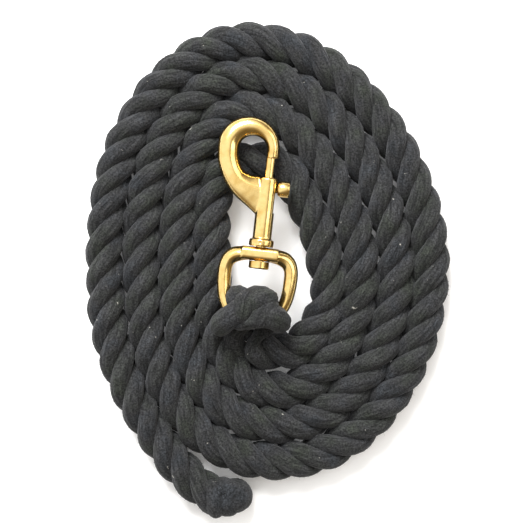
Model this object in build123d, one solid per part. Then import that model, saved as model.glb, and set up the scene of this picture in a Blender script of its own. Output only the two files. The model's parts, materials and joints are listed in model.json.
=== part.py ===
from build123d import *
import os
from math import cos, pi, radians, sin, tan

# Three-strand cotton lead rope with a brass swivel bolt snap, in millimetres, +Z up.
# The rope lies on the floor (z = 0) as a flat oval spiral of a little under four turns. Its inner end
# is eye-spliced round the lower bar of the swivel ring, and its outer end is a back-spliced knob.
# The snap lies on top of the coil. Origin: bottom centre of the whole part's box.

# ---- rope ----
ROPE_D = 19.0
ROPE_R = ROPE_D / 2
COIL_CENTRE = (-1.2, 2.0)
COIL_TILT = 4.5                 # degrees, long axis of the oval turned from +Y towards -X
# Half-widths of the rope's centreline on the oval's short axis, one per half turn, from the
# outermost left side inwards, and half-lengths on its long axis, from the first top inwards.
HALF_WIDTHS = [84.4, 87.4, 66.2, 70.1, 48.3, 50.5, 31.2, 31.9, 31.2]
HALF_LENGTHS = [119.75, 102.4, 103.6, 82.3, 82.8, 64.3, 55.0, 44.1, 44.1]
LAST_TURN = 6 * pi              # angle where the innermost turn begins
JOIN_ANGLE = radians(18)        # before the left side the outside steps out from the second turn to the first
OUTLINE_POINTS = 40
COIL_ROUND_TOP = 9.0
COIL_ROUND_UNDER = 6.0

# The tail's route, from inside the coil's outer turn to the knob.
TAIL_POINTS = [
    (-85.4, -4.0),
    (-84.6, -30.0),
    (-75.0, -60.0),
    (-59.5, -86.5),
    (-45.5, -105.5),
    (-33.0, -117.0),
]
KNOB_CENTRE = (-21.2, -119.05)
KNOB_TURN = -18.0               # degrees, the knob's axis from +X
KNOB_D = 21.0
KNOB_LENGTH = 24.0
KNOB_ROUND = 7.0

# ---- snap, in its own frame: origin at the ring's lower bar, +Y along the snap to the hook ----
BAR_AT = (-8.0, -25.1, 27.0)
SNAP_TURN = -6.5                # degrees about Z

BAR_R = 3.3
BAR_LENGTH = 14.0
BAR_HALF = 3.15                 # half the bar's width outside its round part
RING_CLEAR = 0.35
EYE_D = 14.0                    # the rope is squeezed where it goes round the bar
EYE_LEG = 9.0
THROAT_WIDTH = 41.0
THROAT_NEAR = -4.6
THROAT_FAR = -15.0
THROAT_LOW = 5.0
THROAT_HIGH = 44.0

RING_THICK = 6.3
BOSS_NEAR = 30.4
BOSS_FAR = 37.5
BOSS_HALF = 9.6
BOSS_THICK = 10.4

PIN_R = 2.5
PIN_RUN_CLEAR = 0.06
PIN_HEAD_R = 5.3
PIN_HEAD_NEAR = 26.2
PIN_HEAD_FAR = 30.15
PIN_END = 47.0

COLLAR_R = 6.35
COLLAR_NEAR = 37.8
COLLAR_FAR = 41.6
BARREL_R = 4.7
BARREL_END = 73.6
HOOK_THICK = 9.0
HOOK_BACK = [(-27.9, 88.0), (-25.8, 76.2), (-19.2, 65.2), (-9.6, 58.8), (-4.2, 50.5)]
HOOK_ROUND = 3.2

BOLT_R = 2.4
BORE_R = 2.48
BOLT_REAR = 63.0
BOLT_TIP = 85.3
BOLT_TRAVEL = 10.5
TIP_FACE = 84.7
SOCKET_R = 2.7
SOCKET_END = 85.7

STUD_AT = 68.4
STUD_NECK_R = 2.3
STUD_NECK_START = 1.8
STUD_HEAD_R = 4.1
STUD_HEAD_NEAR = 6.6
STUD_HEAD_FAR = 11.4
SLOT_CLEAR = 0.15

SPRING_R = 1.75
SPRING_WIRE_R = 0.28
SPRING_TURNS = 7

os.makedirs("parts", exist_ok=True)


def half_axis(values, first_angle, angle):
    """The value at this angle, between the two of the list that lie half a turn apart."""
    place = min(max((angle - first_angle) / pi, 0), len(values) - 1)
    low = min(int(place), len(values) - 2)
    return values[low] + (values[low + 1] - values[low]) * (place - low)


def coil_point(angle, offset=0.0):
    """A point of the spiral, offset outwards. Angle 0 is the outermost left side, and it runs clockwise."""
    width = half_axis(HALF_WIDTHS, 0, angle) + offset
    length = half_axis(HALF_LENGTHS, pi / 2, angle) + offset
    x = -width * cos(angle)
    y = length * sin(angle)
    turn = radians(COIL_TILT)
    return (
        COIL_CENTRE[0] + x * cos(turn) - y * sin(turn),
        COIL_CENTRE[1] + x * sin(turn) + y * cos(turn),
    )


def outer_point(angle):
    """The coil's outside: the first turn, whose end steps out smoothly to its own beginning."""
    end = coil_point(angle, ROPE_R)
    part = (angle - 2 * pi + JOIN_ANGLE) / JOIN_ANGLE
    if part <= 0:
        return end
    beginning = coil_point(angle - 2 * pi, ROPE_R)
    share = part * part * (3 - 2 * part)
    return tuple(a + (b - a) * share for a, b in zip(end, beginning))


def closed_outline(point):
    """A face inside a smooth closed line through the points of one turn."""
    points = [point(2 * pi * i / OUTLINE_POINTS) for i in range(OUTLINE_POINTS)]
    return make_face(Spline(*points, periodic=True))


def rounded(solid, edges, radius):
    """The solid with these edges rounded, by a smaller radius where the full one can't be made."""
    for part in (1.0, 0.85, 0.7, 0.5, 0.3):
        try:
            made = solid.fillet(radius * part, edges)
            print("rounded by", round(radius * part, 2), "of", radius)
            return made
        except (ValueError, RuntimeError):
            continue
    return solid


def edges_at_height(solid, height):
    return [e for e in solid.edges() if abs(e.center().Z - height) < 1e-3 and e.bounding_box().size.Z < 1e-3]


def make_coil():
    """The outer shape of the whole coil: an oval ring as thick as the rope."""
    outside = closed_outline(outer_point)
    inside = closed_outline(lambda angle: coil_point(angle + LAST_TURN, -ROPE_R))
    solid = extrude(outside - inside, ROPE_D).solid()
    for height, radius in ((ROPE_D, COIL_ROUND_TOP), (0.0, COIL_ROUND_UNDER)):
        solid = rounded(solid, edges_at_height(solid, height), radius)
    return solid


def corner_radii(points):
    """The largest round corners that the runs allow."""
    vectors = [Vector(*p) for p in points]
    radii = []
    for before, here, after in zip(vectors, vectors[1:], vectors[2:]):
        first = here - before
        second = after - here
        turn = radians(first.get_angle(second))
        radii.append(0.45 * min(first.length, second.length) / tan(turn / 2))
    return radii


def make_tail():
    points = [(x, y, ROPE_R) for x, y in TAIL_POINTS]
    radii = corner_radii(points)
    path = FilletPolyline(*points, radius=radii)
    tube = sweep(Plane(path @ 0, z_dir=path % 0) * Circle(ROPE_R), path=path).solid()
    print("tail corner radii", [round(r, 1) for r in radii])
    print("tail length", round(path.length, 1), "section times length", round(path.length * pi * ROPE_R**2))
    print("tail volume", round(tube.volume))
    return tube


def make_knob():
    """The back splice: a short thick end that turns a little off the tail's own line."""
    turn = radians(KNOB_TURN)
    along = Vector(cos(turn), sin(turn), 0)
    start = Vector(*KNOB_CENTRE, KNOB_D / 2) - along * (KNOB_LENGTH / 2)
    knob = extrude(Plane(start, z_dir=along) * Circle(KNOB_D / 2), KNOB_LENGTH).solid()
    ends = [e for e in knob.edges() if e.geom_type == GeomType.CIRCLE]
    return rounded(knob, ends, KNOB_ROUND)


def snap_place():
    return Location(BAR_AT, (0, 0, SNAP_TURN))


def make_eye():
    """The squeezed rope round the ring's lower bar: two legs and a half circle."""
    bend = BAR_R + RING_CLEAR + EYE_D / 2
    above = Line((0, -EYE_LEG, bend), (0, 0, bend))
    round_bar = ThreePointArc((0, 0, bend), (0, bend, 0), (0, 0, -bend))
    below = Line((0, 0, -bend), (0, -EYE_LEG, -bend))
    path = above + round_bar + below
    section = Plane((0, -EYE_LEG, bend), z_dir=(0, 1, 0)) * Circle(EYE_D / 2)
    tube = sweep(section, path=path).solid()
    print("eye bend radius", bend, "length", round(path.length, 1))
    print("eye volume", round(tube.volume), "section times length", round(path.length * pi * EYE_D**2 / 4))
    return snap_place() * tube


def make_throat():
    """The thick throat of the eye splice, where the tucked strands cross behind the bar."""
    middle = (THROAT_NEAR + THROAT_FAR) / 2
    depth = THROAT_NEAR - THROAT_FAR
    low = THROAT_LOW - BAR_AT[2]
    outline = SlotOverall(THROAT_WIDTH, depth)
    body = extrude(Pos(0, middle, low) * outline, THROAT_HIGH - THROAT_LOW).solid()
    flat_edges = [e for e in body.edges() if e.bounding_box().size.Z < 1e-3]
    return snap_place() * rounded(body, flat_edges, 4.5)


def ring_outline():
    """The ring seen flat: a broad top, limbs that draw in, and a short straight lower bar."""
    outside = (
        Line((-5, -BAR_HALF), (5, -BAR_HALF))
        + Spline((5, -BAR_HALF), (16.6, 4.2), (20.6, 23.0), tangents=[(1, 0), (0, 1)])
        + Spline((20.6, 23.0), (18.2, 32.4), (9.0, 36.6), tangents=[(0, 1), (-1, 0)])
        + Line((9.0, 36.6), (-9.0, 36.6))
        + Spline((-9.0, 36.6), (-18.2, 32.4), (-20.6, 23.0), tangents=[(-1, 0), (0, -1)])
        + Spline((-20.6, 23.0), (-16.6, 4.2), (-5, -BAR_HALF), tangents=[(0, -1), (1, 0)])
    )
    inside = (
        Line((-5, BAR_HALF), (5, BAR_HALF))
        + Spline((5, BAR_HALF), (11.6, 7.6), (14.3, 22.0), tangents=[(1, 0), (0, 1)])
        + Line((14.3, 22.0), (14.3, 26.6))
        + ThreePointArc((14.3, 26.6), (14.3 - 4 * (1 - cos(pi / 4)), 26.6 + 4 * sin(pi / 4)), (10.3, 30.6))
        + Line((10.3, 30.6), (-10.3, 30.6))
        + ThreePointArc((-10.3, 30.6), (-14.3 + 4 * (1 - cos(pi / 4)), 26.6 + 4 * sin(pi / 4)), (-14.3, 26.6))
        + Line((-14.3, 26.6), (-14.3, 22.0))
        + Spline((-14.3, 22.0), (-11.6, 7.6), (-5, BAR_HALF), tangents=[(0, -1), (1, 0)])
    )
    return make_face(outside) - make_face(inside)


def disc_along_y(radius, near, far, x=0.0):
    """A round bar along the snap's axis."""
    return extrude(Plane((x, near, 0), z_dir=(0, 1, 0)) * Circle(radius), far - near).solid()


def make_ring():
    ring = extrude(ring_outline(), RING_THICK / 2, both=True).solid()
    flat_edges = [e for e in ring.edges() if e.bounding_box().size.Z < 1e-3]
    ring = rounded(ring, flat_edges, 2.4)
    bar = Rot(0, 90, 0) * Cylinder(BAR_R, BAR_LENGTH)
    boss = Pos(0, (BOSS_NEAR + BOSS_FAR) / 2, 0) * Box(2 * BOSS_HALF, BOSS_FAR - BOSS_NEAR, BOSS_THICK)
    boss = rounded(boss.solid(), boss.edges().filter_by(Axis.Y), 3.0)
    ring = ring + bar + boss - disc_along_y(PIN_R + PIN_RUN_CLEAR, BOSS_NEAR - 1, BOSS_FAR + 1)
    return snap_place() * ring.solid()


def make_pin():
    """The headed swivel pin: its head inside the ring, its shank staked into the barrel."""
    head = disc_along_y(PIN_HEAD_R, PIN_HEAD_NEAR, PIN_HEAD_FAR)
    rim = [e for e in head.edges().filter_by(GeomType.CIRCLE) if e.center().Y < PIN_HEAD_NEAR + 0.1]
    head = rounded(head, rim, 0.8)
    return snap_place() * (head + disc_along_y(PIN_R, PIN_HEAD_FAR - 0.5, PIN_END)).solid()


def hook_outline():
    """The hook seen flat, from its tip over the top and down its back to the barrel."""
    return make_face(
        Line((-2.6, TIP_FACE), (4.1, TIP_FACE))
        + ThreePointArc((4.1, TIP_FACE), (0.0, 99.3), (-12.5, 105.0))
        + ThreePointArc((-12.5, 105.0), (-23.4, 99.7), (-27.9, 88.0))
        + Spline(*HOOK_BACK, tangents=[(0, -1), (0, -1)])
        + Line((-4.2, 50.5), (0, 50.5))
        + Line((0, 50.5), (0, BARREL_END))
        + Line((0, BARREL_END), (-3.2, BARREL_END))
        + Spline((-3.2, BARREL_END), (-10.2, 75.6), (-16.2, 82.0), (-18.0, 88.2), tangents=[(-1, 0), (0, 1)])
        + ThreePointArc((-18.0, 88.2), (-10.2, 96.0), (-2.6, 88.6))
        + Line((-2.6, 88.6), (-2.6, TIP_FACE))
    )


def make_snap_body():
    """Hook, barrel and collar in one casting, bored for the bolt and slotted for its stud."""
    hook = extrude(hook_outline(), HOOK_THICK / 2, both=True).solid()
    flat_edges = [e for e in hook.edges() if e.bounding_box().size.Z < 1e-3]
    hook = rounded(hook, flat_edges, HOOK_ROUND)
    barrel = disc_along_y(BARREL_R, COLLAR_NEAR, BARREL_END)
    barrel = rounded(barrel, barrel.edges().filter_by(GeomType.CIRCLE).sort_by(Axis.Y)[-1:], 0.8)
    collar = disc_along_y(COLLAR_R, COLLAR_NEAR, COLLAR_FAR)
    collar = rounded(collar, collar.edges().filter_by(GeomType.CIRCLE), 0.7)
    body = hook + barrel + collar
    body = body - disc_along_y(PIN_R, COLLAR_NEAR - 1, PIN_END)
    body = body - disc_along_y(BORE_R, PIN_END - 0.1, BARREL_END + 1)
    body = body - disc_along_y(SOCKET_R, TIP_FACE - 1, SOCKET_END)
    slot_low = STUD_AT - BOLT_TRAVEL - STUD_NECK_R - SLOT_CLEAR
    slot_high = STUD_AT + STUD_NECK_R + SLOT_CLEAR
    slot_width = 2 * (STUD_NECK_R + SLOT_CLEAR)
    slot = Pos(4, (slot_low + slot_high) / 2, 0) * Box(8, slot_high - slot_low, slot_width)
    return snap_place() * (body - slot).solid()


def make_bolt():
    """The sliding bolt, with the cross hole for its stud and a spigot for the spring."""
    bolt = disc_along_y(BOLT_R, BOLT_REAR, BOLT_TIP)
    bolt = rounded(bolt, bolt.edges().filter_by(GeomType.CIRCLE).sort_by(Axis.Y)[-1:], 0.6)
    return snap_place() * bolt


def disc_along_x(radius, near, far):
    """A round bar across the snap's axis, at the stud."""
    return extrude(Plane((near, STUD_AT, 0), z_dir=(1, 0, 0)) * Circle(radius), far - near).solid()


def make_stud():
    """The thumb stud on the bolt's side: a neck through the slot and a round head."""
    neck = disc_along_x(STUD_NECK_R, STUD_NECK_START, STUD_HEAD_NEAR + 0.2)
    head = disc_along_x(STUD_HEAD_R, STUD_HEAD_NEAR, STUD_HEAD_FAR)
    head = rounded(head, head.edges().filter_by(GeomType.CIRCLE), 0.9)
    return snap_place() * (neck + head).solid()


def make_spring():
    """The return spring, between the pin's end and the bolt."""
    near = PIN_END + SPRING_WIRE_R
    length = BOLT_REAR - PIN_END - 2 * SPRING_WIRE_R
    coil = Helix(pitch=length / SPRING_TURNS, height=length, radius=SPRING_R)
    wire = sweep(Plane(coil @ 0, z_dir=coil % 0) * Circle(SPRING_WIRE_R), path=coil, is_frenet=True).solid()
    return snap_place() * (Location((0, near, 0), (-90, 0, 0)) * wire)


MAKERS = {
    "rope_coil": make_coil,
    "rope_tail": make_tail,
    "tail_knob": make_knob,
    "rope_eye": make_eye,
    "splice_throat": make_throat,
    "swivel_ring": make_ring,
    "swivel_pin": make_pin,
    "snap_body": make_snap_body,
    "bolt": make_bolt,
    "thumb_stud": make_stud,
    "bolt_spring": make_spring,
}

for name, make in MAKERS.items():
    export_step(make(), f"parts/{name}.step")
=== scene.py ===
import json
import random
from math import copysign, cos, exp, pi, radians, sin, sqrt

import bmesh
import bpy
from mathutils import Matrix, Vector, noise


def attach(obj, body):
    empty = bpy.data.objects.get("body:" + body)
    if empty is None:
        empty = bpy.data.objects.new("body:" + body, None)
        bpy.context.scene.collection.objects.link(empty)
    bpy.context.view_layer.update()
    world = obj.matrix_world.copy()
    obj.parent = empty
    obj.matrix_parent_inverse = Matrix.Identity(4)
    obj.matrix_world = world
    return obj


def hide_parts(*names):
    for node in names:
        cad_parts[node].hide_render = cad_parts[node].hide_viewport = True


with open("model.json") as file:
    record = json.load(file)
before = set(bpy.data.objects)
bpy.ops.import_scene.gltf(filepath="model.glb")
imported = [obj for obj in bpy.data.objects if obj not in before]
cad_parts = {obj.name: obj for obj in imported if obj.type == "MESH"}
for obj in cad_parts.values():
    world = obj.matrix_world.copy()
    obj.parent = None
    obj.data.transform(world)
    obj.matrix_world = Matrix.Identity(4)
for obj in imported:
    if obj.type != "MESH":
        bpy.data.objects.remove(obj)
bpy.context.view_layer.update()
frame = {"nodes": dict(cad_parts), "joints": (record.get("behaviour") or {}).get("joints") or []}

# A three-strand cotton lead rope in a flat oval coil, with a brass bolt snap in its eye splice.

MM = 0.001

# ---------------------------------------------------------------- camera and light, in metres
CAMERA_AT = (-0.0034, 0.0048, 0.7765)
CAMERA_LENS = 100.0             # millimetres, on a sensor 36 mm wide
CAMERA_SENSOR = 36.0
FLOOR_HALF = 6.0
FLOOR_Z = -0.0002               # just under the rope, which is flat where it rests
FLOOR_GLOW = 0.11
SKY_WAY = (-0.62, 0.42, 0.66)   # the sky's bright side
SKY_STRENGTH = 1.46
# Name, place, width and power of each soft light. Both aim at the origin.
LIGHTS = [
    ("key", (-0.25, 0.8, 0.9), 0.55, 26.0),
    ("fill", (0.9, 0.3, 0.8), 0.9, 7.0),
]

# ---------------------------------------------------------------- rope dimensions, in millimetres
ROPE_LIFT = 10.0                # the rope's centre above the floor
COIL_CENTRE = (-1.2, 2.0)
COIL_TILT = 4.5                 # degrees, long axis of the oval turned from +Y towards -X
# Half axes of the rope's centreline, one per half turn, from the outermost left side and top inwards.
HALF_WIDTHS = [84.4, 87.4, 66.2, 70.1, 48.3, 50.5, 31.2, 31.9, 31.2]
HALF_LENGTHS = [119.75, 102.4, 103.6, 82.3, 82.8, 64.3, 55.0, 44.1, 44.1]
# Small moves of the line off the plain spiral: angle and spread in half turns, then the outward shift.
NUDGES = [
    (0.75, 0.3, -1.0),
    (2.05, 0.25, -0.9),
    (2.6, 0.35, -1.9),
    (2.8, 0.3, -1.8),
    (3.45, 0.3, 0.8),
    (4.08, 0.25, -2.2),
    (4.28, 0.12, -1.4),
    (4.42, 0.3, 2.2),
    (4.74, 0.3, -3.4),
    (5.1, 0.3, 0.8),
    (5.4, 0.3, 0.9),
    (6.04, 0.22, -3.6),
    (6.34, 0.2, 4.5),
    (6.5, 0.12, -2.0),
    (6.6, 0.13, 3.4),
    (6.76, 0.1, -2.0),
    (6.95, 0.16, -1.4),
    (7.14, 0.14, 3.6),
    (7.38, 0.12, 2.6),
]
COIL_END = 7.42 * pi            # angle where the rope leaves the coil for the eye, from 0 at the left
TURN_POINTS = 24
SPLINE_GAIN = 1 / cos(pi / TURN_POINTS)     # the spline runs this much inside its control points

# The tail's route from the coil to the knob, and the inner end's in the snap's own frame.
TAIL_POINTS = [
    (-85.4, -4.0),
    (-84.6, -30.0),
    (-75.0, -60.0),
    (-59.5, -86.5),
    (-45.5, -105.5),
    (-33.0, -117.0),
    (-26.0, -119.6),
]
EYE_POINTS = [
    (-1.5, 0.5, 7.6),
    (-1.3, 4.0, 9.2),
    (-1.2, 8.0, 8.2),
    (-1.2, 11.0, 0.5),
    (-1.5, 6.5, -8.8),
    (-2.0, -2.5, -10.6),
    (-2.0, -10.5, -12.0),
    (2.0, -15.8, -14.0),
]

LAY = 44.5                      # length of one turn of a strand
STRAND_PHASE = 0.6              # radians
STRAND_PLACE = 5.0              # strand centre from the rope's centre
STRAND_RADIAL = 5.25            # strand radius away from the rope's centre
STRAND_ACROSS = 5.95            # and sideways
STRAND_SWELL = 0.05             # how much a strand's thickness wanders
RING_STEP = 2.15                # between the rings of points that make a strand
RING_VERTS = 36
# In the eye the rope is squeezed flat on the ring's bar, between these distances from its end.
SQUEEZE_IN = (3, 8)
SQUEEZE_OUT = (38, 52)
SQUEEZE_WIDER = 0.75
SQUEEZE_LOWER = 0.45
YARNS = 9                       # yarns showing around one strand
YARN_DEPTH = 0.17               # how far the grooves between them sink
YARN_SLIP = 0.035               # turn of the yarns about their strand, in radians per millimetre

# How far the surface is pushed in and out on the strands, the tucks and the knob.
STRAND_ROUGH = 0.22
TUCK_ROUGH = 0.3
KNOB_ROUGH = 0.35

FIBRES = 6500                   # loose cotton fibres on the rope's surface
FIBRE_SEED = 41
FIBRE_ROOT = 8.0                # they stand on the strands' outer side, this far or more from the centre
FIBRE_LENGTH = (0.7, 1.9)
FIBRE_RADII = ((-0.25, 0.04), (0.5, 0.036), (1.0, 0.012))   # part of the length, then radius
FIBRE_SIDES = 3
FIBRE_LEAN = 0.7                # how far they lean off the surface's normal
FIBRE_BEND = 0.3                # and bend, as a part of their length

TUCK_STEP = 0.7
# The tucked strands over the eye splice's throat: points in the snap's own frame, then a radius.
TUCKS = [
    [(9.8, 12.4, 2.5, 4.6), (7.0, 12.0, 7.0, 5.6), (0.8, 9.2, 9.6, 6.0), (-6.0, 5.2, 9.6, 6.2),
     (-11.6, 0.2, 8.2, 6.1), (-15.8, -3.4, 4.2, 6.0), (-16.6, -8.0, -3.0, 5.2)],
    [(-11.0, -2.8, 4.0, 4.8), (-3.5, 0.6, 8.0, 5.9), (3.6, 3.2, 9.4, 6.4), (9.4, 3.0, 8.4, 6.5),
     (14.0, 1.6, 4.4, 6.1), (14.6, -2.4, -4.0, 5.2)],
]

# ---------------------------------------------------------------- snap dimensions, in its own frame
# Half sections of the hook from the barrel to its tip: outer point, inner point, half thickness.
HOOK_SECTIONS = [
    ((0.0, 51.5), (0.0, 71.5), 3.4),
    ((-5.2, 54.4), (-4.6, 73.7), 3.9),
    ((-10.0, 57.9), (-8.0, 73.9), 4.3),
    ((-14.8, 61.2), (-11.0, 74.8), 4.6),
    ((-19.3, 65.2), (-13.0, 75.8), 4.8),
    ((-23.0, 70.2), (-14.8, 78.0), 4.9),
    ((-25.8, 75.8), (-16.1, 81.2), 4.9),
    ((-27.4, 81.2), (-16.8, 84.6), 4.9),
]
HOOK_OUTER = (-12.0, 88.0, 16.0)    # centre and radius of the bend's outer side
HOOK_INNER = (-9.7, 87.0, 7.3)
HOOK_ARC = (172, 4, 13)         # degrees of the first and last arc section, and their number
HOOK_ARC_THICK = (4.9, 4.2)     # half thickness from the first to the last arc section
HOOK_TIP = [
    ((4.1, 85.8), (-2.6, 85.8), 4.0),
    ((4.1, 83.5), (-2.6, 83.5), 3.8),
]
HOOK_EXPONENT = 1.9             # of a section: 2 is an ellipse, less is more pointed, more is squarer
SECTION_VERTS = 48              # around the hook, the ring's limbs, the stud and the tools that cut bores
# Lathed outlines, as distance along the axis and radius.
BARREL_PROFILE = [(39.0, 4.95), (44.0, 4.9), (58.0, 4.9), (72.7, 4.85), (73.6, 4.2)]
COLLAR_PROFILE = [(37.8, 6.1), (38.1, 6.45), (41.2, 6.45), (41.6, 6.0)]
LATHE_VERTS = 64
# Bores, as radius, near end and far end.
PIN_BORE = (2.5, 36.8, 47.0)
BOLT_BORE = (2.48, 46.9, 75.0)
TIP_SOCKET = (2.7, 82.0, 85.7)
SWIVEL_BORE = (2.56, 29.0, 39.0)
STUD_SLOT = ((0.0, 55.45, -2.45), (8.0, 70.85, 2.45))   # its low and high corners
STAKE_AT = (-0.6, 39.6, 6.9)    # centre of the ball that leaves the punch mark in the collar
STAKE_RADIUS = 0.9
STAKE_RINGS = 12
STAKE_VERTS = 24
STUD_AT = 68.4                  # along the snap
# The thumb stud's outline, as distance from the bolt's axis and radius.
STUD_PROFILE = [
    (1.8, 2.3), (5.3, 2.3), (5.4, 3.3), (5.7, 3.6), (6.6, 4.0), (7.2, 4.15),
    (10.9, 4.15), (11.25, 4.0), (11.4, 3.6),
]
# Voxel size and smoothing rounds of each casting's skin.
SNAP_SKIN = (0.36, 9)
RING_SKIN = (0.34, 6)

# Half the ring, from its lower bar to the top: outer point, inner point, half thickness.
RING_SECTIONS = [
    ((0.0, -3.2), (0.0, 3.2), 3.2),
    ((5.0, -3.2), (5.0, 3.2), 3.2),
    ((10.6, -1.4), (8.0, 4.8), 3.3),
    ((15.6, 2.9), (10.8, 7.6), 3.4),
    ((18.8, 8.8), (12.6, 11.4), 3.5),
    ((20.3, 15.5), (13.4, 16.6), 3.5),
    ((20.8, 22.5), (13.6, 22.3), 3.5),
    ((20.4, 27.8), (13.4, 25.6), 3.6),
    ((18.6, 32.4), (12.4, 27.8), 3.8),
    ((15.0, 35.8), (10.8, 28.8), 4.2),
    ((10.4, 37.1), (8.6, 29.6), 4.9),
    ((4.0, 37.55), (4.0, 30.35), 5.2),
]
RING_EXPONENT = 1.7
# The block at the ring's top that the pin runs through.
TOP_FAR = 37.55
TOP_NEAR = 30.3
TOP_HALF_THICK = 5.2
TOP_PLACES = (-9.5, 0.0, 9.5)
TOP_EXPONENT = 3.2
TOP_VERTS = 40

# ---------------------------------------------------------------- knob dimensions, in millimetres
KNOB_RINGS = 40
KNOB_VERTS = 48
# The back splice at the tail's end: centre, half sizes and turn of each lobe.
KNOB_LOBES = [
    ((-28.4, -119.8, 11.0), (6.2, 10.8, 10.6), 9),
    ((-17.2, -118.6, 10.2), (9.2, 9.1, 10.2), -25),
    ((-21.6, -121.4, 9.6), (8.4, 8.4, 9.6), 20),
    ((-23.6, -115.0, 9.4), (7.0, 6.0, 9.0), -12),
]

JOINTS = {joint["name"]: joint for joint in frame["joints"]}
SNAP_AT = Vector(JOINTS["ring_hinge"]["pos_m"])
SNAP_X = Vector(JOINTS["ring_hinge"]["axis"])
SNAP_Y = Vector(JOINTS["snap_swivel"]["axis"])
SNAP_Z = SNAP_X.cross(SNAP_Y)


def snap_point(x, y, z=0.0):
    """A point given in the snap's own frame, in millimetres, as a point of the row frame in metres."""
    return SNAP_AT + (SNAP_X * x + SNAP_Y * y + SNAP_Z * z) * MM


def linked(name, data):
    """A new object in the scene."""
    item = bpy.data.objects.new(name, data)
    bpy.context.scene.collection.objects.link(item)
    return item


# ---------------------------------------------------------------- camera
def make_camera():
    """Straight above the coil, far enough back to keep the perspective slight."""
    data = bpy.data.cameras.new("camera")
    data.lens = CAMERA_LENS
    data.sensor_width = CAMERA_SENSOR
    camera = linked("camera", data)
    camera.location = CAMERA_AT
    bpy.context.scene.camera = camera


# ---------------------------------------------------------------- rope route
def half_axis(values, first_angle, angle):
    """The half axis at an angle, straight between one value per half turn."""
    place = min(max((angle - first_angle) / pi, 0), len(values) - 1)
    low = min(int(place), len(values) - 2)
    return values[low] + (values[low + 1] - values[low]) * (place - low)


def coil_point(angle):
    """A control point of the spiral, in metres. It runs clockwise and inwards from angle 0 at the left."""
    shift = 0.0
    for place, spread, amount in NUDGES:
        shift += amount * exp(-((angle / pi - place) / spread) ** 2 * 2)
    x = -(half_axis(HALF_WIDTHS, 0, angle) + shift) * SPLINE_GAIN * cos(angle)
    y = (half_axis(HALF_LENGTHS, pi / 2, angle) + shift) * SPLINE_GAIN * sin(angle)
    turn = radians(COIL_TILT)
    return Vector((
        (COIL_CENTRE[0] + x * cos(turn) - y * sin(turn)) * MM,
        (COIL_CENTRE[1] + x * sin(turn) + y * cos(turn)) * MM,
        ROPE_LIFT * MM,
    ))


def route_points():
    """The rope's control points from the eye outwards to the knob."""
    points = [snap_point(*p) for p in EYE_POINTS]
    steps = round(COIL_END / (2 * pi) * TURN_POINTS)
    for i in range(steps + 1):
        points.append(coil_point(COIL_END - COIL_END * i / steps))
    points += [Vector((x * MM, y * MM, ROPE_LIFT * MM)) for x, y in TAIL_POINTS[1:]]
    return points


def spline_line(name, points):
    """The smooth line of a NURBS spline through these control points, as its own points."""
    data = bpy.data.curves.new(name, "CURVE")
    data.dimensions = "3D"
    data.resolution_u = 16
    spline = data.splines.new("NURBS")
    spline.points.add(len(points) - 1)
    for target, p in zip(spline.points, points):
        target.co = (*p, 1.0)
    spline.order_u = 3
    spline.use_endpoint_u = True
    curve = linked(name, data)
    bpy.context.view_layer.update()
    mesh = bpy.data.meshes.new_from_object(curve)
    line = [v.co.copy() for v in mesh.vertices]
    bpy.data.objects.remove(curve)
    bpy.data.meshes.remove(mesh)
    return line


def even_line(line, step):
    """Points at even distances along a line."""
    total = sum((b - a).length for a, b in zip(line, line[1:]))
    count = max(2, round(total / step))
    gap = total / count
    out = [line[0].copy()]
    want = gap
    gone = 0.0
    for a, b in zip(line, line[1:]):
        length = (b - a).length
        while gone + length >= want - 1e-9 and len(out) < count:
            out.append(a.lerp(b, (want - gone) / length))
            want += gap
        gone += length
    out.append(line[-1].copy())
    return out, gap


def frames_along(line, first_normal):
    """Tangent and two normals at each point, carried along without twist."""
    tangents = []
    for i in range(len(line)):
        a = line[max(i - 1, 0)]
        b = line[min(i + 1, len(line) - 1)]
        tangents.append((b - a).normalized())
    normal = first_normal - tangents[0] * first_normal.dot(tangents[0])
    normal.normalize()
    frames = []
    before = tangents[0]
    for t in tangents:
        normal = before.rotation_difference(t) @ normal
        normal = (normal - t * normal.dot(t)).normalized()
        frames.append((t, normal, t.cross(normal)))
        before = t
    return frames


def smooth_step(a, b, x):
    """0 before a, 1 after b, and an S curve between."""
    t = min(max((x - a) / (b - a), 0.0), 1.0)
    return t * t * (3 - 2 * t)


# ---------------------------------------------------------------- mesh helpers
def finished(piece, body, material):
    """Smooth shading, one material, and the piece's body."""
    for polygon in piece.data.polygons:
        polygon.use_smooth = True
    piece.data.materials.clear()
    piece.data.materials.append(material)
    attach(piece, body)
    return piece


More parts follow.
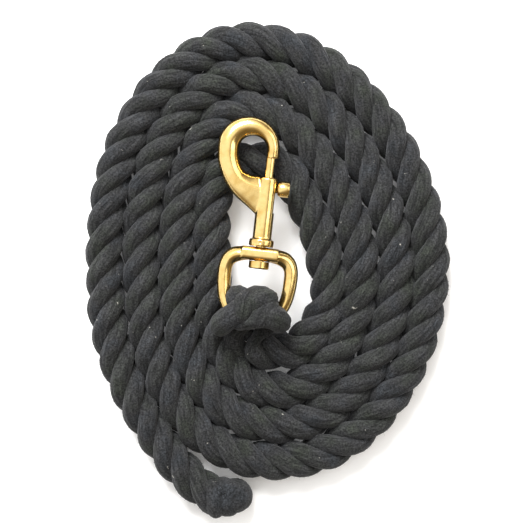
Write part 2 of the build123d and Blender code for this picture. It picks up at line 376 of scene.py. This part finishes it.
class TubeBuilder:
    """Gathers closed tubes made of rings of points into one mesh, with a UV map along each."""

    def __init__(self):
        self.verts = []
        self.faces = []
        self.uvs = []

    def add(self, rings, along, strand=0.0):
        """rings: lists of points, all of one length. along: the distance of each ring, in metres."""
        base = len(self.verts)
        count = len(rings[0])
        for ring in rings:
            self.verts.extend(ring)
        for i in range(len(rings) - 1):
            for j in range(count):
                k = (j + 1) % count
                a = base + i * count
                b = a + count
                self.faces.append((a + j, a + k, b + k, b + j))
                u0 = strand + j / count
                u1 = strand + (j + 1) / count
                self.uvs.extend([(u0, along[i]), (u1, along[i]), (u1, along[i + 1]), (u0, along[i + 1])])
        for ring_index, forward in ((0, False), (len(rings) - 1, True)):
            centre = sum(rings[ring_index], Vector()) / count
            self.verts.append(centre)
            tip = len(self.verts) - 1
            first = base + ring_index * count
            for j in range(count):
                k = (j + 1) % count
                pair = (first + j, first + k) if forward else (first + k, first + j)
                self.faces.append((*pair, tip))
                self.uvs.extend([(strand + j / count, along[ring_index])] * 3)

    def mesh(self, name):
        mesh = bpy.data.meshes.new(name)
        mesh.from_pydata([tuple(v) for v in self.verts], [], self.faces)
        layer = mesh.uv_layers.new(name="along")
        for item, uv in zip(layer.data, self.uvs):
            item.uv = uv
        mesh.validate()
        mesh.update()
        return mesh


def swept_rings(stations, exponent, verts):
    """Closed rings through the two outer points and the half thickness of each station."""
    rings = []
    for outer, inner, thick in stations:
        middle = ((outer[0] + inner[0]) / 2, (outer[1] + inner[1]) / 2)
        half = ((outer[0] - inner[0]) / 2, (outer[1] - inner[1]) / 2)
        ring = []
        for j in range(verts):
            angle = 2 * pi * j / verts
            across = copysign(abs(cos(angle)) ** (2 / exponent), cos(angle))
            up = copysign(abs(sin(angle)) ** (2 / exponent), sin(angle))
            ring.append(Vector((middle[0] + half[0] * across, middle[1] + half[1] * across, thick * up)))
        rings.append(ring)
    return rings


def smooth_value(p, q, r, w, t):
    """The value at t between q and r, on a smooth line through all four."""
    square = (2 * p - 5 * q + 4 * r - w) * t * t
    cube = (3 * q - p - 3 * r + w) * t ** 3
    return 0.5 * (2 * q + (r - p) * t + square + cube)


def between(stations, parts):
    """More stations, on a smooth line through the given ones."""
    flat = [(*o, *i, t) for o, i, t in stations]
    out = []
    for k in range(len(flat) - 1):
        a = flat[max(k - 1, 0)]
        b = flat[k]
        c = flat[k + 1]
        d = flat[min(k + 2, len(flat) - 1)]
        for step in range(parts):
            v = [smooth_value(*values, step / parts) for values in zip(a, b, c, d)]
            out.append(((v[0], v[1]), (v[2], v[3]), v[4]))
    out.append(stations[-1])
    return out


def lathe_rings(profile, verts):
    """Rings about the snap's long axis through (distance along, radius) pairs."""
    return [
        [Vector((r * cos(2 * pi * j / verts), y, r * sin(2 * pi * j / verts))) for j in range(verts)]
        for y, r in profile
    ]


def solid_from(name, tubes):
    """One closed mesh, in millimetres, from several overlapping closed tubes of rings."""
    builder = TubeBuilder()
    for rings in tubes:
        builder.add(rings, [0.0] * len(rings))
    piece = linked(name, builder.mesh(name))
    work = bmesh.new()
    work.from_mesh(piece.data)
    bmesh.ops.recalc_face_normals(work, faces=work.faces)
    work.to_mesh(piece.data)
    work.free()
    return piece


def join(piece, other):
    """Adds the other mesh to the piece."""
    work = bmesh.new()
    work.from_mesh(piece.data)
    work.from_mesh(other.data)
    work.to_mesh(piece.data)
    work.free()
    bpy.data.objects.remove(other)


def apply_modifiers(piece):
    """Replaces the piece's mesh with the result of its modifiers."""
    bpy.context.view_layer.update()
    graph = bpy.context.evaluated_depsgraph_get()
    mesh = bpy.data.meshes.new_from_object(piece.evaluated_get(graph))
    piece.modifiers.clear()
    piece.data = mesh


def blend(piece, voxel, rounds):
    """Joins overlapping tubes into one skin and softens where they meet."""
    remesh = piece.modifiers.new("skin", "REMESH")
    remesh.mode = "VOXEL"
    remesh.voxel_size = voxel
    smooth = piece.modifiers.new("soft", "SMOOTH")
    smooth.factor = 0.5
    smooth.iterations = rounds
    apply_modifiers(piece)


def cut(piece, tool):
    """Takes the tool's volume out of the piece, and removes the tool."""
    boolean = piece.modifiers.new("cut", "BOOLEAN")
    boolean.operation = "DIFFERENCE"
    boolean.solver = "EXACT"
    boolean.object = tool
    apply_modifiers(piece)
    bpy.data.objects.remove(tool)


def round_tool(name, radius, near, far):
    """A closed cylinder along the snap's long axis."""
    return solid_from(name, [lathe_rings([(near, radius), (far, radius)], SECTION_VERTS)])


def box_tool(name, low, high):
    """A closed box between two corners."""
    rings = [
        [Vector((x, y, low[2])), Vector((x, y, high[2])), Vector((x2, y, high[2])), Vector((x2, y, low[2]))]
        for x, x2, y in ((low[0], high[0], low[1]), (low[0], high[0], high[1]))
    ]
    return solid_from(name, [rings])


def seat(piece, body, material):
    """Moves a mesh from the snap's own frame, in millimetres, to its place and hands it to a body."""
    mesh = piece.data
    for vertex in mesh.vertices:
        vertex.co = snap_point(*vertex.co)
    work = bmesh.new()
    work.from_mesh(mesh)
    bmesh.ops.dissolve_degenerate(work, dist=1e-7, edges=work.edges)
    bmesh.ops.recalc_face_normals(work, faces=work.faces)
    work.to_mesh(mesh)
    work.free()
    return finished(piece, body, material)


# ---------------------------------------------------------------- materials
def node_material(name):
    """A new material with a principled shader, its node tree and the shader."""
    material = bpy.data.materials.new(name)
    material.use_nodes = True
    tree = material.node_tree
    tree.nodes.clear()
    output = tree.nodes.new("ShaderNodeOutputMaterial")
    shader = tree.nodes.new("ShaderNodeBsdfPrincipled")
    tree.links.new(shader.outputs[0], output.inputs[0])
    return material, tree, shader


def ramp(tree, source, stops):
    """A colour ramp fed by a value, from (position, colour) pairs."""
    node = tree.nodes.new("ShaderNodeValToRGB")
    elements = node.color_ramp.elements
    while len(elements) < len(stops):
        elements.new(0.5)
    for element, (place, colour) in zip(elements, stops):
        element.position = place
        element.color = (*colour, 1.0)
    tree.links.new(source, node.inputs[0])
    return node


def grey(value):
    return (value, value, value)


def noise_texture(tree, source, scale, detail, roughness=0.5):
    """A noise value over the given coordinates."""
    node = tree.nodes.new("ShaderNodeTexNoise")
    node.inputs["Scale"].default_value = scale
    node.inputs["Detail"].default_value = detail
    node.inputs["Roughness"].default_value = roughness
    tree.links.new(source, node.inputs["Vector"])
    return node.outputs["Fac"]


def multiplied(tree, first, second):
    """The product of two colours."""
    node = tree.nodes.new("ShaderNodeMix")
    node.data_type = "RGBA"
    node.blend_type = "MULTIPLY"
    node.inputs["Factor"].default_value = 1.0
    tree.links.new(first, node.inputs[6])
    tree.links.new(second, node.inputs[7])
    return node.outputs[2]


def bumped(tree, height, strength, distance, normal=None):
    """A bump from a height value, over another bump if one is given."""
    node = tree.nodes.new("ShaderNodeBump")
    node.inputs["Strength"].default_value = strength
    node.inputs["Distance"].default_value = distance
    tree.links.new(height, node.inputs["Height"])
    if normal:
        tree.links.new(normal, node.inputs["Normal"])
    return node.outputs[0]


def cotton_material():
    """Charcoal cotton: fine yarns along the rope, soft colour change, pale lint, a little sheen."""
    material, tree, shader = node_material("charcoal_cotton")
    uv = tree.nodes.new("ShaderNodeUVMap")
    uv.uv_map = "along"
    yarn_map = tree.nodes.new("ShaderNodeMapping")
    yarn_map.inputs["Scale"].default_value = (22.0, 90.0, 1.0)
    tree.links.new(uv.outputs[0], yarn_map.inputs[0])
    place = tree.nodes.new("ShaderNodeTexCoord").outputs["Object"]
    yarn = noise_texture(tree, yarn_map.outputs[0], 1.0, 4.0, 0.6)
    patch = noise_texture(tree, place, 72.0, 3.0)
    grain = noise_texture(tree, place, 1150.0, 2.0)
    specks = noise_texture(tree, place, 330.0, 3.0)
    fleck = ramp(tree, grain, [(0.36, grey(0.45)), (0.64, grey(1.75))])
    tone = ramp(tree, yarn, [(0.3, (0.0060, 0.0062, 0.0062)), (0.7, (0.0310, 0.0314, 0.0309))])
    hue = ramp(tree, patch, [
        (0.32, (0.94, 1.05, 0.87)),
        (0.44, (0.97, 1.01, 0.98)),
        (0.55, (1.0, 1.0, 1.07)),
        (0.67, (0.92, 1.0, 1.15)),
    ])
    cotton = multiplied(tree, multiplied(tree, tone.outputs[0], hue.outputs[0]), fleck.outputs[0])
    lint_mask = ramp(tree, specks, [(0.735, grey(0)), (0.765, grey(1))])
    lint = tree.nodes.new("ShaderNodeMix")
    lint.data_type = "RGBA"
    tree.links.new(lint_mask.outputs[0], lint.inputs["Factor"])
    tree.links.new(cotton, lint.inputs[6])
    lint.inputs[7].default_value = (0.30, 0.29, 0.26, 1.0)
    tree.links.new(lint.outputs[2], shader.inputs["Base Color"])
    shader.inputs["Roughness"].default_value = 0.9
    shader.inputs["Sheen Weight"].default_value = 0.10
    shader.inputs["Sheen Roughness"].default_value = 0.5
    shader.inputs["Sheen Tint"].default_value = (0.75, 0.76, 0.8, 1.0)
    shader.inputs["Specular IOR Level"].default_value = 0.2
    coarse = bumped(tree, yarn, 0.9, 0.0009)
    tree.links.new(bumped(tree, grain, 0.9, 0.0004, coarse), shader.inputs["Normal"])
    return material


def brass_material():
    """Polished cast brass with faint tarnish and a slightly uneven surface."""
    material, tree, shader = node_material("cast_brass")
    place = tree.nodes.new("ShaderNodeTexCoord").outputs["Object"]
    cloud = noise_texture(tree, place, 160.0, 5.0)
    colour = ramp(tree, cloud, [(0.3, (0.61, 0.395, 0.105)), (0.6, (0.785, 0.57, 0.215))])
    rough = ramp(tree, cloud, [(0.3, grey(0.26)), (0.7, grey(0.15))])
    tree.links.new(colour.outputs[0], shader.inputs["Base Color"])
    tree.links.new(rough.outputs[0], shader.inputs["Roughness"])
    shader.inputs["Metallic"].default_value = 1.0
    shader.inputs["Specular Tint"].default_value = (0.30, 0.16, 0.03, 1.0)
    shader.inputs["Coat Weight"].default_value = 0.8
    shader.inputs["Coat Roughness"].default_value = 0.14
    tree.links.new(bumped(tree, cloud, 0.22, 0.0003), shader.inputs["Normal"])
    return material


def steel_material():
    """Bright spring wire, faintly mottled."""
    material, tree, shader = node_material("spring_wire")
    place = tree.nodes.new("ShaderNodeTexCoord").outputs["Object"]
    cloud = noise_texture(tree, place, 900.0, 3.0)
    colour = ramp(tree, cloud, [(0.3, (0.42, 0.42, 0.43)), (0.7, (0.62, 0.62, 0.63))])
    rough = ramp(tree, cloud, [(0.3, grey(0.34)), (0.7, grey(0.22))])
    tree.links.new(colour.outputs[0], shader.inputs["Base Color"])
    tree.links.new(rough.outputs[0], shader.inputs["Roughness"])
    shader.inputs["Metallic"].default_value = 1.0
    return material


# ---------------------------------------------------------------- rope
def strand_noise(seed, distance, scale):
    """A slow change along one strand, from about -1 to 1."""
    return noise.noise(Vector((seed * 7.3 + 0.5, distance * scale, seed * 3.1)))


def roughened(point, centre, amount, seed):
    """Pushes a surface point in or out a little, so that no lobe is a perfect round."""
    way = point - centre
    shift = noise.noise(point * 220.0 + Vector((seed, 0, 0))) + 0.5 * noise.noise(point * 700.0)
    return point + way.normalized() * (amount * shift)


def yarn_ridge(angle, distance, seed):
    """Height of the yarns' ridges round a strand, in millimetres, deeper in some places than others."""
    depth = YARN_DEPTH * (1.0 + 0.9 * noise.noise(Vector((cos(angle) * 1.5, distance * 70.0, seed * 5.3))))
    return depth * (2 * abs(cos(YARNS * angle / 2)) - 1.0)


def build_tucks(material):
    """The strands tucked across the eye splice's throat, as thick as the rope's own."""
    builder = TubeBuilder()
    for number, tuck in enumerate(TUCKS):
        points = [snap_point(*p[:3]) for p in tuck]
        line, gap = even_line(spline_line("tuck_line", points), TUCK_STEP * MM)
        frames = frames_along(line, SNAP_Z)
        rings = []
        along = []
        for i, (centre, (_, normal, side)) in enumerate(zip(line, frames)):
            part = i / (len(line) - 1)
            place = part * (len(tuck) - 1)
            low = min(int(place), len(tuck) - 2)
            radius = tuck[low][3] + (tuck[low + 1][3] - tuck[low][3]) * (place - low)
            end = min(i, len(line) - 1 - i) * gap / MM
            if end < radius:
                radius *= max(0.15, sqrt(1 - (1 - end / radius) ** 2))
            ring = []
            for j in range(RING_VERTS):
                angle = 2 * pi * j / RING_VERTS
                lobe = radius + yarn_ridge(angle, i * gap, number + 3)
                point = centre + (normal * cos(angle) + side * sin(angle)) * lobe * MM
                ring.append(roughened(point, centre, TUCK_ROUGH * MM, 5.0 + number))
            rings.append(ring)
            along.append(i * gap)
        builder.add(rings, along, 4 + number)
    tucks = finished(linked("eye_tucks", builder.mesh("eye_tucks")), "rope", material)
    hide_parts("splice_throat")
    return tucks


def build_knob(material):
    """The back splice that ends the rope: strand lobes turned back on themselves."""
    builder = TubeBuilder()
    for number, (middle, half, turned) in enumerate(KNOB_LOBES):
        centre = Vector(middle) * MM
        turn = Matrix.Rotation(radians(turned), 3, "Z")
        rings = []
        along = []
        for i in range(1, KNOB_RINGS):
            polar = pi * i / KNOB_RINGS
            ring = []
            for j in range(KNOB_VERTS):
                angle = 2 * pi * j / KNOB_VERTS
                local = Vector((
                    half[0] * sin(polar) * cos(angle),
                    -half[1] * cos(polar),
                    half[2] * sin(polar) * sin(angle),
                )) * MM
                ring.append(roughened(centre + turn @ local, centre, KNOB_ROUGH * MM, 9.0 + number))
            rings.append(ring)
            along.append(half[1] * polar * MM)
        builder.add(rings, along, 8 + number)
    mesh = builder.mesh("tail_knob_strands")
    for vertex in mesh.vertices:
        vertex.co.z = max(vertex.co.z, 0.0)
    knob = finished(linked("tail_knob_strands", mesh), "rope", material)
    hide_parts("tail_knob")
    return knob


def build_fuzz(material, roots):
    """Short loose fibres standing off the cotton, each rooted inside its strand."""
    draw = random.Random(FIBRE_SEED)
    builder = TubeBuilder()
    for point, way in draw.sample(roots, FIBRES):
        lean = Vector((draw.uniform(-1, 1), draw.uniform(-1, 1), draw.uniform(-1, 1)))
        bend = Vector((draw.uniform(-1, 1), draw.uniform(-1, 1), draw.uniform(-1, 1)))
        length = draw.uniform(*FIBRE_LENGTH) * MM
        start = (way + lean * FIBRE_LEAN).normalized()
        across = start.orthogonal().normalized()
        other = start.cross(across)
        rings = []
        for step, thick in FIBRE_RADII:
            centre = point + start * (length * step) + bend * (length * FIBRE_BEND * max(step, 0) ** 2)
            rings.append([
                centre + (across * cos(angle) + other * sin(angle)) * thick * MM
                for angle in (2 * pi * j / FIBRE_SIDES for j in range(FIBRE_SIDES))
            ])
        if min(p.z for ring in rings for p in ring) > 0:
            builder.add(rings, [0.0, 0.001, 0.002], draw.uniform(0, 20))
    return finished(linked("rope_fibres", builder.mesh("rope_fibres")), "rope", material)


def build_rope(material, tucks, knob):
    """The rope's three strands along its route, in one mesh."""
    line, gap = even_line(spline_line("rope_route", route_points()), RING_STEP * MM)
    frames = frames_along(line, SNAP_Z)
    builder = TubeBuilder()
    roots = []
    for strand in range(3):
        rings = []
        along = []
        # In the eye, normal points away from the ring's bar and side runs along it.
        for i, (centre, (_, normal, side)) in enumerate(zip(line, frames)):
            distance = i * gap
            far = distance / MM
            turn = 2 * pi * far / LAY + 2 * pi * strand / 3 + STRAND_PHASE
            swell = 1 + STRAND_SWELL * strand_noise(strand, distance, 60.0)
            flat = smooth_step(*SQUEEZE_IN, far) * (1 - smooth_step(*SQUEEZE_OUT, far))
            place = STRAND_PLACE * MM * swell
            wide = 1 + SQUEEZE_WIDER * flat
            low = 1 - SQUEEZE_LOWER * flat
            offset = normal * (cos(turn) * place * low) + side * (sin(turn) * place * wide)
            out = normal * cos(turn) + side * sin(turn)
            across = side * cos(turn) - normal * sin(turn)
            middle = centre + offset
            ring = []
            for j in range(RING_VERTS):
                angle = 2 * pi * j / RING_VERTS - turn
                yarn = yarn_ridge(2 * pi * j / RING_VERTS + YARN_SLIP * far, distance, strand)
                point = (
                    middle
                    + out * (cos(angle) * (STRAND_RADIAL * swell + yarn) * MM)
                    + across * (sin(angle) * (STRAND_ACROSS * swell + yarn) * MM)
                )
                point = roughened(point, middle, STRAND_ROUGH * MM, strand)
                point.z = max(point.z, 0.0)
                ring.append(point)
                if (point - centre).length > FIBRE_ROOT * MM:
                    roots.append((point, (point - middle).normalized()))
            rings.append(ring)
            along.append(distance)
        builder.add(rings, along, strand)
    rope = finished(linked("rope_strands", builder.mesh("rope_strands")), "rope", material)
    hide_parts("rope_coil", "rope_tail", "rope_eye")
    build_fuzz(material, roots)


# ---------------------------------------------------------------- brass
def hook_stations():
    """The hook's sections: its root, its round bend and its tip."""
    stations = list(HOOK_SECTIONS)
    first, last, count = HOOK_ARC
    thick, thin = HOOK_ARC_THICK
    for i in range(count):
        part = i / (count - 1)
        angle = radians(first + (last - first) * part)
        outer = (HOOK_OUTER[0] + HOOK_OUTER[2] * cos(angle), HOOK_OUTER[1] + HOOK_OUTER[2] * sin(angle))
        inner = (HOOK_INNER[0] + HOOK_INNER[2] * cos(angle), HOOK_INNER[1] + HOOK_INNER[2] * sin(angle))
        stations.append((outer, inner, thick + (thin - thick) * part))
    return between(stations + HOOK_TIP, 4)


def stake_tool():
    """A small ball at the collar's upper side, for the punch mark that stakes the pin."""
    polars = [pi * i / STAKE_RINGS for i in range(1, STAKE_RINGS)]
    profile = [(-STAKE_RADIUS * cos(polar), STAKE_RADIUS * sin(polar)) for polar in polars]
    tool = solid_from("stake_mark", [lathe_rings(profile, STAKE_VERTS)])
    for vertex in tool.data.vertices:
        vertex.co += Vector(STAKE_AT)
    return tool


def build_snap_body(material):
    """Hook, barrel and collar as one casting, with its bore and the stud's slot."""
    hook = swept_rings(hook_stations(), HOOK_EXPONENT, SECTION_VERTS)
    barrel = lathe_rings(BARREL_PROFILE, LATHE_VERTS)
    collar = lathe_rings(COLLAR_PROFILE, LATHE_VERTS)
    piece = solid_from("snap_casting", [hook, barrel, collar])
    blend(piece, *SNAP_SKIN)
    cut(piece, stake_tool())
    cut(piece, round_tool("pin_bore", *PIN_BORE))
    cut(piece, round_tool("bolt_bore", *BOLT_BORE))
    cut(piece, round_tool("tip_socket", *TIP_SOCKET))
    cut(piece, box_tool("stud_slot", *STUD_SLOT))
    seat(piece, "snap", material)
    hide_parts("snap_body")


def build_stud(material):
    """The thumb stud: a neck through the slot and a round, chamfered head."""
    angles = [2 * pi * j / SECTION_VERTS for j in range(SECTION_VERTS)]
    rings = [
        [Vector((x, STUD_AT + r * cos(angle), r * sin(angle))) for angle in angles]
        for x, r in STUD_PROFILE
    ]
    piece = solid_from("thumb_button", [rings])
    seat(piece, "bolt", material)
    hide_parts("thumb_stud")


def build_ring(material):
    """The swivel ring: a round lower bar, ridged limbs and a thick bored top."""
    right = between(RING_SECTIONS, 4)
    left = [((-o[0], o[1]), (-i[0], i[1]), t) for o, i, t in reversed(right)]
    limbs = swept_rings(left[:-1] + right, RING_EXPONENT, SECTION_VERTS)
    piece = solid_from("swivel_ring_casting", [limbs])
    stations = [((x, TOP_FAR), (x, TOP_NEAR), TOP_HALF_THICK) for x in TOP_PLACES]
    join(piece, solid_from("ring_top", [swept_rings(stations, TOP_EXPONENT, TOP_VERTS)]))
    blend(piece, *RING_SKIN)
    cut(piece, round_tool("swivel_bore", *SWIVEL_BORE))
    seat(piece, "ring", material)
    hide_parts("swivel_ring")


# ---------------------------------------------------------------- floor and light
def make_floor():
    """A plain pale floor."""
    mesh = bpy.data.meshes.new("floor")
    corners = [(x * FLOOR_HALF, y * FLOOR_HALF, FLOOR_Z) for x, y in ((-1, -1), (1, -1), (1, 1), (-1, 1))]
    mesh.from_pydata(corners, [], [(0, 1, 2, 3)])
    material, _, shader = node_material("pale_floor")
    shader.inputs["Base Color"].default_value = (0.93, 0.93, 0.93, 1.0)
    shader.inputs["Roughness"].default_value = 0.9
    shader.inputs["Emission Color"].default_value = (1.0, 1.0, 1.0, 1.0)
    shader.inputs["Emission Strength"].default_value = FLOOR_GLOW
    mesh.materials.append(material)
    floor = linked("floor", mesh)


def area_light(name, location, size, power):
    """A square soft light, aimed at the origin."""
    data = bpy.data.lights.new(name, "AREA")
    data.shape = "SQUARE"
    data.size = size
    data.energy = power
    light = linked(name, data)
    light.location = location
    light.rotation_euler = (-Vector(location)).to_track_quat("-Z", "Y").to_euler()


def make_lights():
    """A soft sky, brighter towards the upper left, and two area lights."""
    world = bpy.data.worlds.new("studio")
    bpy.context.scene.world = world
    world.use_nodes = True
    tree = world.node_tree
    background = tree.nodes["Background"]
    sky = tree.nodes.new("ShaderNodeTexCoord")
    way = tree.nodes.new("ShaderNodeVectorMath")
    way.operation = "DOT_PRODUCT"
    way.inputs[1].default_value = SKY_WAY
    tree.links.new(sky.outputs["Generated"], way.inputs[0])
    shade = ramp(tree, way.outputs["Value"], [
        (0.0, (0.14, 0.11, 0.07)),
        (0.35, (0.29, 0.235, 0.165)),
        (0.62, (0.98, 0.98, 0.98)),
        (0.9, (1.0, 1.0, 1.0)),
    ])
    tree.links.new(shade.outputs[0], background.inputs[0])
    background.inputs[1].default_value = SKY_STRENGTH
    for light in LIGHTS:
        area_light(*light)


make_camera()
make_lights()
make_floor()
COTTON = cotton_material()
BRASS = brass_material()
build_rope(COTTON, build_tucks(COTTON), build_knob(COTTON))
build_snap_body(BRASS)
build_ring(BRASS)
build_stud(BRASS)
for node, material in (("swivel_pin", BRASS), ("bolt", BRASS), ("bolt_spring", steel_material())):
    item = frame["nodes"][node]
    item.data.materials.clear()
    item.data.materials.append(material)
bpy.context.scene.view_settings.view_transform = "Standard"
